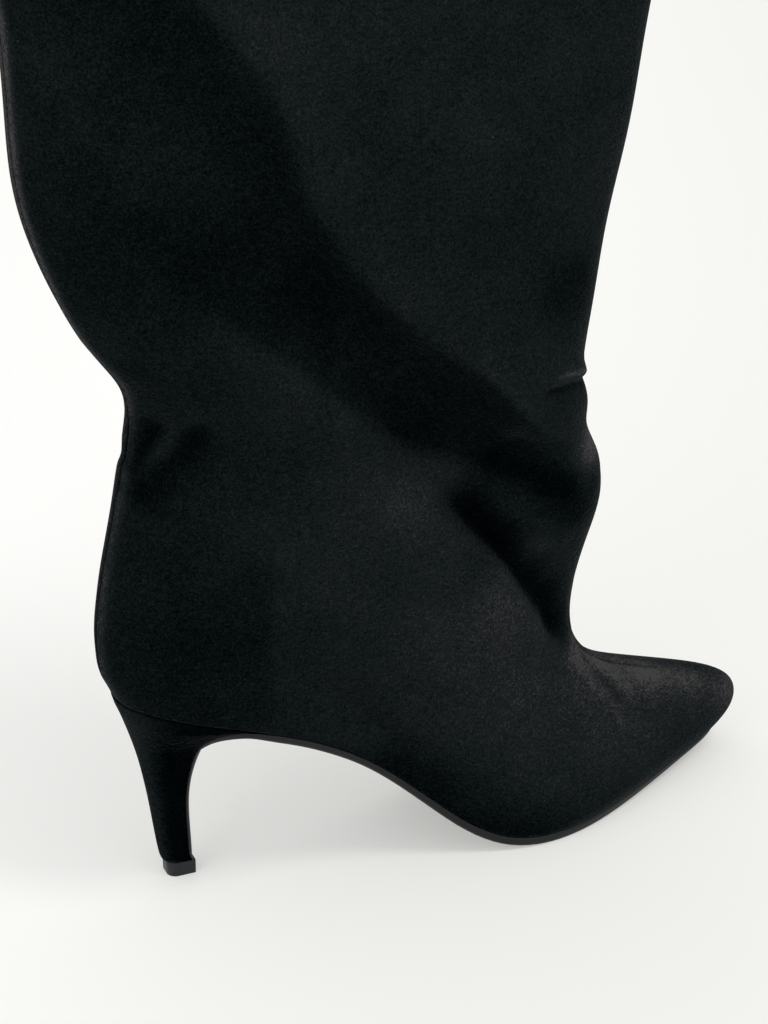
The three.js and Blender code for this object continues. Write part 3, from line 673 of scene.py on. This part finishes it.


# Moves the skin by the listed creases, waves and seams, and notes nap and seam at each corner.
# The nap it notes also holds painted highlight and painted shade on folds, seams, vamp and arch.
def shapeCloth(shape):
    sizes = upperSizes
    places = np.array([corner.co for corner in shape.verts]) * 1000
    normals = np.array([corner.normal for corner in shape.verts])
    inside = np.array([all(face.material_index == 1 for face in corner.link_faces)
                       for corner in shape.verts])
    outward = np.where(inside[:, None], -normals, normals)
    sideView = places[:, [0, 2]]
    x, y, z = places.T
    # rounding draws the skin in a little, so it is let out again
    lift = np.full(len(places), sizes["swell"])
    napAndPaintedLight = np.full(len(places), sizes["napBase"])
    for creases, side, tone in ((outerCreases, -1, "outerPaintedFoldLight"), (innerCreases, 1, "innerPaintedFoldLight")):
        onSide = smoothRise((y * side + sizes["sideStart"]) / sizes["sideFade"])
        for crease in creases:
            share = creaseShare(crease, sideView) * onSide
            lift += crease["height"] * share
            # painted highlight and painted shade: each ridge drawn paler and each trough darker, in step
            # with its height
            napAndPaintedLight += crease.get("tone", sizes[tone]) * crease["height"] * share
    # slow waves of slack cloth over the shaft
    wave = sizes["wave"]
    slow = 2 * math.pi / wave["length"]
    sway = (np.sin(slow * (x + wave["slant"] * z))
            * np.sin(slow * wave["slower"] * (z - wave["cross"] * x) + y / wave["across"]))
    onShaft = smoothRise((z - wave["from"]) / wave["rise"]) * smoothRise((wave["to"] - z) / wave["fall"])
    lift += wave["height"] * sway * onShaft
    outerSide = smoothRise((sizes["markSide"] - y) / sizes["markFade"])
    for mark in paintedLightAndShadeLines:
        napAndPaintedLight += mark["lift"] * creaseShare(mark, sideView) * outerSide
    for mark in napAndPaintedLightMarks:
        distance = np.hypot(x - mark["at"][0], z - mark["at"][1])
        napAndPaintedLight += mark["lift"] * np.exp(-(distance / mark["reach"]) ** 2)
    # the seam's groove, fainter on the vamp, with a raised lip on each side
    away = np.abs(y)
    vamp = sizes["vamp"]
    seamed = smoothRise((sizes["seamEnd"] - x) / sizes["seamFade"]) * ~inside
    faint = 1 - (1 - vamp["seam"]) * smoothRise((vamp["top"] - z) / vamp["fade"]) * (x > vamp["back"])
    groove = np.exp(-(away / sizes["seamHalf"]) ** 2) * seamed * faint
    lip = np.exp(-((away - sizes["lipAt"]) / sizes["lipHalf"]) ** 2) * seamed
    lift += sizes["lipHeight"] * lip - sizes["seamDepth"] * groove
    # painted highlight: a pale strip beside the seams, paler high at the back than low down and faint
    # at the front, as the nap's sheen where the cloth is seen edge on
    low = smoothRise((sizes["lowTop"] - z) / sizes["lowFade"])
    back = sizes["backPaintedSheen"] + (sizes["lowPaintedSheen"] - sizes["backPaintedSheen"]) * low
    paintedRimSheen = np.where(x < sizes["backEnd"], back, sizes["frontPaintedSheen"])
    napAndPaintedLight += paintedRimSheen * np.exp(-((away - sizes["rimAt"]) / sizes["rimHalf"]) ** 2) * seamed
    # the collar stays level, and the bottom edge stays where the sole meets it
    lift *= smoothRise((sizes["collar"] - z) / sizes["collarFade"])
    lift *= smoothRise((z - bottomEdge(x)) / sizes["bottom"]["fade"] + sizes["bottom"]["start"])
    moved = (places + outward * lift[:, None]) / 1000
    napAndPaintedLightLayer = shape.verts.layers.float.new("napAndPaintedLight")
    seamLayer = shape.verts.layers.float.new("seam")
    for i, corner in enumerate(shape.verts):
        corner.co = moved[i]
        corner[napAndPaintedLightLayer] = napAndPaintedLight[i]
        corner[seamLayer] = groove[i]


def makeUpper():
    shape = mergedCopy("upper")
    markLining(shape)
    shape = subdivided(shape, upperSizes["levels"])
    easeCloth(shape, upperSizes["easing"], upperSizes["easingShares"], lambda place: True)
    easeArch(shape)
    cutSeams(shape)
    refineCreases(shape)
    shapeCloth(shape)
    # the cloth is turned over the collar's edge
    for face in shape.faces:
        if face.calc_center_median().z > mm(upperSizes["collar"] - upperSizes["turnedEdge"]):
            face.material_index = 0
    return finishPiece("upper_cloth", shape, [upperSuede, lining], "upper")


upperCloth = makeUpper()

print("sole and heel")

soleSizes = {"keepTurn": 25, "keepHold": 0.62, "levels": 2}


def makeOutsole():
    shape = mergedCopy("outsole")
    keepEdges(shape, soleSizes["keepTurn"], soleSizes["keepHold"])
    shape = subdivided(shape, soleSizes["levels"])
    return finishPiece("outsole_trimmed", shape, [soleRubber], "outsole")


heelSizes = {
    "keepTurn": 38,
    "keepHold": 0.95,
    "levels": 2,
    "swell": 0.25,
    "napAndPaintedLight": 0.06,
    "paintedRimSheen": 0.5,
    "rimFrom": 0.3,
    "rimSpread": 0.5,
}


def makeHeel():
    shape = mergedCopy("heel")
    keepEdges(shape, heelSizes["keepTurn"], heelSizes["keepHold"])
    shape = subdivided(shape, heelSizes["levels"])
    for corner in shape.verts:
        corner.co += corner.normal * mm(heelSizes["swell"])
    napAndPaintedLight = shape.verts.layers.float.new("napAndPaintedLight")
    shape.verts.layers.float.new("seam")
    # painted highlight: the cover is drawn paler down the middle of the back, where it faces backward,
    # as the nap's sheen seen edge on; its low base tone is partly the cover's own dark nap and partly
    # painted shade under the boot
    for corner in shape.verts:
        back = min(max((-corner.normal.x - heelSizes["rimFrom"]) / heelSizes["rimSpread"], 0), 1)
        corner[napAndPaintedLight] = heelSizes["napAndPaintedLight"] + heelSizes["paintedRimSheen"] * back
    return finishPiece("heel_cover", shape, [heelSuede], "heel")


liftSizes = {"edge": 0.25, "segments": 2, "flatTurn": 1, "sharpTurn": 60}


def makeLift():
    shape = mergedCopy("top_lift")
    bmesh.ops.dissolve_limit(shape, verts=shape.verts, edges=shape.edges,
                             angle_limit=math.radians(liftSizes["flatTurn"]))
    sharp = [edge for edge in shape.edges
             if edge.calc_face_angle(0) > math.radians(liftSizes["sharpTurn"])]
    bmesh.ops.bevel(shape, geom=sharp, offset=mm(liftSizes["edge"]), segments=liftSizes["segments"],
                    affect="EDGES", profile=0.5, material=-1)
    return finishPiece("top_lift_moulded", shape, [liftPlastic], "top_lift")


insoleSizes = {"keepTurn": 50, "keepHold": 0.6, "levels": 1}


def makeInsole():
    shape = mergedCopy("insole")
    keepEdges(shape, insoleSizes["keepTurn"], insoleSizes["keepHold"])
    shape = subdivided(shape, insoleSizes["levels"])
    return finishPiece("insole_sock", shape, [sock], "insole")


makeOutsole()
makeHeel()
makeLift()
makeInsole()

print("collar stitches")

stitchSizes = {"below": 4.5, "pitch": 3.2, "length": 2.3, "thick": 0.55, "sink": 0.12, "gap": 0.01,
               "sides": 6, "rings": 5}


# A row of stitches round the collar's turned edge, on the cloth's outer face.
def makeStitches():
    cut = bmesh.new()
    cut.from_mesh(upperCloth.data)
    level = mm(upperSizes["collar"] - stitchSizes["below"])
    kept = bmesh.ops.bisect_plane(cut, geom=cut.verts[:] + cut.edges[:] + cut.faces[:],
                                  dist=mm(stitchSizes["gap"]), plane_co=(0, 0, level),
                                  plane_no=(0, 0, 1))["geom_cut"]
    ring = [item for item in kept if isinstance(item, bmesh.types.BMVert)
            and any(face.material_index == 0 for face in item.link_faces)]
    middle = sum((corner.co for corner in ring), Vector()) / len(ring)
    ring.sort(key=lambda corner: math.atan2(corner.co.y - middle.y, corner.co.x - middle.x))
    line = [corner.co.copy() for corner in ring] + [ring[0].co.copy()]
    cut.free()
    lengths = np.array([(b - a).length for a, b in zip(line, line[1:])])
    walked = np.concatenate([[0], np.cumsum(lengths)])
    count = round(walked[-1] / mm(stitchSizes["pitch"]))
    shape = bmesh.new()
    for i in range(count):
        place = walked[-1] * (i + 0.5) / count
        k = min(int(np.searchsorted(walked, place)) - 1, len(lengths) - 1)
        along = (line[k + 1] - line[k]).normalized()
        out = Vector((along.y, -along.x, 0)).normalized()
        spot = line[k] + along * (place - walked[k]) - out * mm(stitchSizes["sink"])
        turn = Matrix((along, out, Vector((0, 0, 1)))).transposed().to_4x4()
        size = Matrix.Diagonal((mm(stitchSizes["length"] / 2), mm(stitchSizes["thick"] / 2),
                                mm(stitchSizes["thick"] / 2), 1))
        bmesh.ops.create_uvsphere(shape, u_segments=stitchSizes["sides"],
                                  v_segments=stitchSizes["rings"], radius=1,
                                  matrix=Matrix.Translation(spot) @ turn @ size)
    bmesh.ops.recalc_face_normals(shape, faces=shape.faces)
    return finishPiece("collar_stitches", shape, [thread], None)


makeStitches()

print("studio")

# In metres and degrees. The floor's tone goes from floorColour to floorShade along floorFall.
studio = {
    "floorHalf": 6.0,
    "floorColour": "#c5c5c3",
    "floorShade": "#bcbcb9",
    "floorFall": (0.8, -0.62, 0),
    "floorFrom": -0.17,
    "floorTo": 0.2,
    "floorPaintedGlow": 0.7,
    "dome": 0.9,
    "lights": (
        {"name": "topPanel", "at": (0.7, -0.55, 1.6), "aim": (0.08, 0, 0.1), "size": 0.55, "power": 8},
        {"name": "leftPanel", "at": (-1.5, -0.9, 1.1), "aim": (0.05, 0, 0.2), "size": 1.0, "power": 5},
    ),
    "camera": (-0.2279, -0.730, 0.500),
    "pitch": 64.8,
    "yaw": -22.9,
    "lens": 87.9,
}


# Matt painted board that glows, though it is no lamp: painted light that lifts the shadow under the
# boot and lights it a little from below. Its colour darkens a little to the right and the front, as
# painted shade of the light falling off.
def makeFloor():
    shape = bmesh.new()
    bmesh.ops.create_grid(shape, x_segments=2, y_segments=2, size=studio["floorHalf"])
    mesh = bpy.data.meshes.new("floor")
    shape.to_mesh(mesh)
    shape.free()
    floor = bpy.data.objects.new("floor", mesh)
    scene.collection.objects.link(floor)
    material, tree, shader = newMaterial("mattBoardWithPaintedGlow")
    place = addNode(tree, "ShaderNodeTexCoord").outputs["Object"]
    across = addNode(tree, "ShaderNodeVectorMath", {1: studio["floorFall"]}, {0: place},
                     operation="DOT_PRODUCT")
    share = addNode(tree, "ShaderNodeMapRange",
                    {"From Min": studio["floorFrom"], "From Max": studio["floorTo"]},
                    {"Value": across.outputs["Value"]})
    # painted shade: the floor's colour falls off toward floorShade along floorFall
    tone = addNode(tree, "ShaderNodeMix",
                   {"A": linear(studio["floorColour"]), "B": linear(studio["floorShade"])},
                   {"Factor": share.outputs[0]}, data_type="RGBA")
    tree.links.new(tone.outputs["Result"], shader.inputs["Base Color"])
    tree.links.new(tone.outputs["Result"], shader.inputs["Emission Color"])
    # painted light: the board glows
    shader.inputs["Emission Strength"].default_value = studio["floorPaintedGlow"]
    shader.inputs["Roughness"].default_value = 0.85
    shader.inputs["Specular IOR Level"].default_value = 0.2
    mesh.materials.append(material)


makeFloor()

world = bpy.data.worlds.new("paleRoom")
world.use_nodes = True
world.node_tree.nodes["Background"].inputs["Color"].default_value = (1, 1, 1, 1)
world.node_tree.nodes["Background"].inputs["Strength"].default_value = studio["dome"]
scene.world = world

for panel in studio["lights"]:
    data = bpy.data.lights.new(panel["name"], "AREA")
    data.shape = "DISK"
    data.size = panel["size"]
    data.energy = panel["power"]
    light = bpy.data.objects.new(panel["name"], data)
    light.location = panel["at"]
    light.rotation_euler = (Vector(panel["aim"]) - light.location).to_track_quat("-Z", "Y").to_euler()
    scene.collection.objects.link(light)

scene.view_settings.view_transform = "Standard"
cameraData = bpy.data.cameras.new("photoCamera")
cameraData.lens = studio["lens"]
cameraData.sensor_width = 36
cameraData.clip_start = 0.01
camera = bpy.data.objects.new("photoCamera", cameraData)
camera.location = studio["camera"]
camera.rotation_euler = (math.radians(studio["pitch"]), 0, math.radians(studio["yaw"]))
scene.collection.objects.link(camera)
scene.camera = camera
